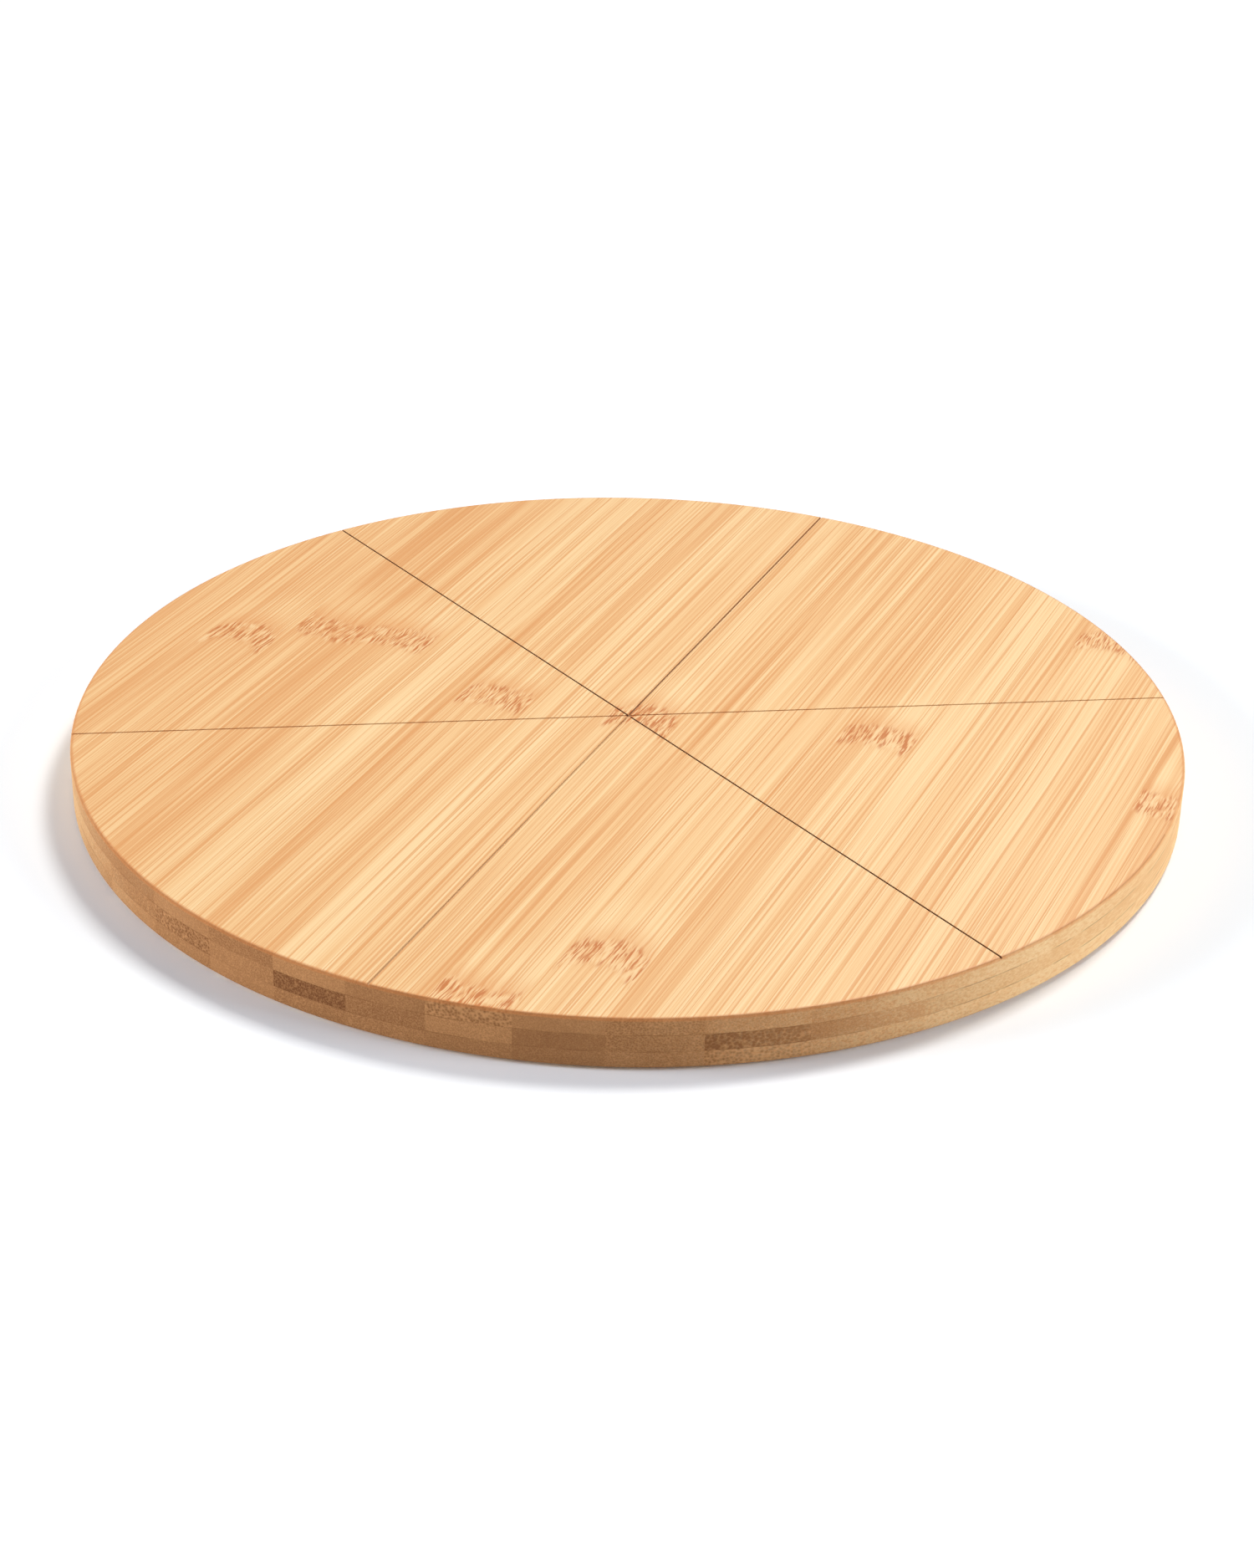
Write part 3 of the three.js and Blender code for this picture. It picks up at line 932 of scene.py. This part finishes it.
# %% Seats in the races
def countersinks():
    """Cutters for the screws' holes and their conical seats."""
    head = SCREW_HEAD + SCREW_CLEARANCE
    shank = SCREW_SHANK + SCREW_CLEARANCE
    cone = screw_low.z + SCREW_HEAD_RIM
    start = screw_low.z - CUTTER_PAST
    end = inner_high.z + CUTTER_PAST
    seats = []
    for i in range(1, SCREW_COUNT + 1):
        seat = turn_on_lathe(
            f"countersink_{i}",
            rounded([
                (0, start, 0),
                (head, start, 0),
                (head, cone, 0),
                (shank, cone + head - shank, 0),
                (shank, end, 0),
                (0, end, 0),
            ]),
            SEAT_STEPS,
        )
        middle = middle_of(f"race_screw_{i:02d}")
        seats.append(settle(seat, (middle.x, middle.y, 0)))
    return seats


def foot_seats():
    """Cutters for the recesses that the feet are glued into."""
    radius = foot_radius + FOOT_CLEARANCE
    start = outer_low.z - CUTTER_PAST
    end = foot_high.z + FOOT_GLUE
    seats = []
    for i in range(1, FOOT_COUNT + 1):
        seat = turn_on_lathe(
            f"foot_seat_{i}",
            rounded([
                (0, start, 0),
                (radius, start, 0),
                (radius, end, FOOT_SEAT_ROUNDING),
                (0, end, 0),
            ]),
            SEAT_STEPS,
        )
        middle = middle_of(f"foot_{i:02d}")
        seats.append(settle(seat, (middle.x, middle.y, 0)))
    return seats


carve(inner_race, countersinks())
carve(outer_race, foot_seats())
for race in (inner_race, outer_race):
    report(race)
aluminium = turned_aluminium()
stand_for(inner_race, "inner_race", "tabletop", aluminium)
stand_for(outer_race, "outer_race", "base", aluminium)

# %% [markdown]
# ## Screws
#
# The head and shank are turned in one outline, with a ridge for each turn of thread. The cross recess
# needs a tapered cutter: a cube is narrowed at its deep end in edit mode, and a second one crosses it.
# One screw is modelled. The other three are copies, each stopped at its own angle, as screws are.

# %% Screws
SCREW_ROOT = 1.25 * MM
SCREW_PITCH = 1.3 * MM
RECESS_LENGTH = 3.8 * MM
RECESS_WIDTH = 0.9 * MM
RECESS_DEPTH = 1.3 * MM
RECESS_TAPER = 0.35
RECESS_NARROWING = 0.7
RIDGE_HALF = 0.35 * MM
RIDGE_ROUNDING = 0.06 * MM
HEAD_EDGE = 0.12 * MM
HEAD_RIM_EDGE = 0.08 * MM
NECK_FILLET = 0.4 * MM
TIP_FILLET = 0.2 * MM
SCREW_STEPS = 48
STOPPED_AT = math.radians(37)


def recess_arm(turn):
    """A bar that narrows along its length towards its deep end."""
    bpy.ops.object.select_all(action="DESELECT")
    bpy.ops.mesh.primitive_cube_add(size=1)
    arm = bpy.context.object
    arm.name = "recess_arm"
    arm.scale = (RECESS_LENGTH, RECESS_WIDTH, 2 * RECESS_DEPTH)
    bpy.ops.object.transform_apply(scale=True)
    for part in (arm.data.vertices, arm.data.edges, arm.data.polygons):
        part.foreach_set("select", [False] * len(part))
    for face in arm.data.polygons:
        face.select = face.normal.z > 0.9
    bpy.ops.object.mode_set(mode="EDIT")
    bpy.ops.mesh.select_mode(type="FACE")
    bpy.ops.transform.resize(value=(RECESS_TAPER, RECESS_NARROWING, 1))
    bpy.ops.object.mode_set(mode="OBJECT")
    return settle(arm, turn=turn)


def ridges(start, end):
    """The corners of the thread's ridges, one for each turn that fits."""
    corners = []
    for k in range(int((end - start) / SCREW_PITCH)):
        middle = start + SCREW_PITCH * (k + 0.5)
        corners += [
            (SCREW_ROOT, middle - RIDGE_HALF, 0),
            (SCREW_SHANK, middle, RIDGE_ROUNDING),
            (SCREW_ROOT, middle + RIDGE_HALF, 0),
        ]
    return corners


screw_length = screw_high.z - screw_low.z
neck = SCREW_HEAD_RIM + SCREW_HEAD - SCREW_ROOT
tip = screw_length - SCREW_SHANK
screw = turn_on_lathe(
    "ring_screw_01",
    rounded([
        (0, 0, 0),
        (SCREW_HEAD, 0, HEAD_EDGE),
        (SCREW_HEAD, SCREW_HEAD_RIM, HEAD_RIM_EDGE),
        (SCREW_ROOT, neck, NECK_FILLET),
        *ridges(neck, tip),
        (SCREW_ROOT, tip, TIP_FILLET),
        (0, screw_length, 0),
    ]),
    SCREW_STEPS,
)
carve(screw, [recess_arm(0), recess_arm(math.pi / 2)])
screws = [screw] + [copy_of(screw, f"ring_screw_{i:02d}") for i in range(2, SCREW_COUNT + 1)]
zinc = zinc_plate()
for i, one in enumerate(screws, start=1):
    middle = middle_of(f"race_screw_{i:02d}")
    settle(one, (middle.x, middle.y, screw_low.z), turn=STOPPED_AT * i)
    stand_for(one, f"race_screw_{i:02d}", "tabletop", zinc)
report(screw)

# %% [markdown]
# ## Balls and their retainer
#
# A ball made as a UV sphere has poles, which show in a polished reflection. A cube cut finely and
# pushed out to a sphere has none. The retainer is a turned ring, drilled from its side at each ball.
# Its top edge stands just above the holes' widest part, which is what lets each pocket snap on.

# %% Balls
BALL_COUNT = sum(name.startswith("ball_") and name != "ball_retainer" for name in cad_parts)
BALL_CUTS = 11

bpy.ops.object.select_all(action="DESELECT")
bpy.ops.mesh.primitive_cube_add(size=ball_radius)
ball = bpy.context.object
ball.name = "bearing_ball_01"
ball.data.name = ball.name
bpy.ops.object.mode_set(mode="EDIT")
bpy.ops.mesh.select_all(action="SELECT")
bpy.ops.mesh.subdivide(number_cuts=BALL_CUTS)
bpy.ops.transform.tosphere(value=1)
bpy.ops.object.mode_set(mode="OBJECT")
ball.scale = [ball_radius / ball.data.vertices[0].co.length] * 3
bpy.ops.object.transform_apply(scale=True)
bpy.ops.object.shade_smooth()
balls = [ball] + [copy_of(ball, f"bearing_ball_{i:02d}") for i in range(2, BALL_COUNT + 1)]
polished = polished_steel()
for i, one in enumerate(balls, start=1):
    settle(one, middle_of(f"ball_{i:02d}"))
    stand_for(one, f"ball_{i:02d}", "ball_cage", polished)
report(ball)

# %% Retainer
RETAINER_CLEARANCE = 0.15 * MM
RETAINER_FILLET = 0.25 * MM
POCKET_STEPS = 32

cage_low, cage_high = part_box("ball_retainer")
cage_outer = cage_high.x
cage_inner = 2 * pitch_radius - cage_outer
retainer = turn_on_lathe(
    "cage_ring",
    rounded([
        (cage_inner, cage_low.z, RETAINER_FILLET),
        (cage_outer, cage_low.z, RETAINER_FILLET),
        (cage_outer, cage_high.z, RETAINER_FILLET),
        (cage_inner, cage_high.z, RETAINER_FILLET),
    ]),
    RACE_STEPS,
)
pockets = []
for i in range(BALL_COUNT):
    bpy.ops.object.select_all(action="DESELECT")
    bpy.ops.mesh.primitive_cylinder_add(
        vertices=POCKET_STEPS,
        radius=ball_radius + RETAINER_CLEARANCE,
        depth=4 * (cage_outer - cage_inner),
        location=(pitch_radius, 0, ball_middle.z),
        rotation=(0, math.pi / 2, 0),
    )
    drill = bpy.context.object
    bpy.ops.object.transform_apply(location=True, rotation=True)
    pockets.append(settle(drill, turn=2 * math.pi * i / BALL_COUNT))
bpy.ops.object.select_all(action="DESELECT")
for drill in pockets:
    drill.select_set(True)
bpy.context.view_layer.objects.active = pockets[0]
bpy.ops.object.join()
carve(retainer, [pockets[0]])
report(retainer)
stand_for(retainer, "ball_retainer", "ball_cage", moulded_nylon())

# %% [markdown]
# ## Feet
#
# A foot is a small turned disc of rubber. Its underside is dished inside a flat rim, so that it grips
# at the rim and doesn't rock on a grain of salt.

# %% Feet
FOOT_EASE = 0.4 * MM
FOOT_DISH = 0.3 * MM
FOOT_RIM = 1.3 * MM
DISH_ROUNDING = 0.2 * MM
FOOT_ROUNDING = 0.15 * MM
FOOT_STEPS = 64

foot = turn_on_lathe(
    "rubber_foot_01",
    rounded([
        (0, FOOT_DISH, 0),
        (foot_radius - FOOT_RIM - FOOT_DISH, FOOT_DISH, DISH_ROUNDING),
        (foot_radius - FOOT_RIM, 0, FOOT_ROUNDING),
        (foot_radius, 0, FOOT_EASE),
        (foot_radius, foot_high.z, FOOT_ROUNDING),
        (0, foot_high.z, 0),
    ]),
    FOOT_STEPS,
)
feet = [foot] + [copy_of(foot, f"rubber_foot_{i:02d}") for i in range(2, FOOT_COUNT + 1)]
rubber = foot_rubber()
for i, one in enumerate(feet, start=1):
    middle = middle_of(f"foot_{i:02d}")
    settle(one, (middle.x, middle.y, 0))
    stand_for(one, f"foot_{i:02d}", "base", rubber)
report(foot)
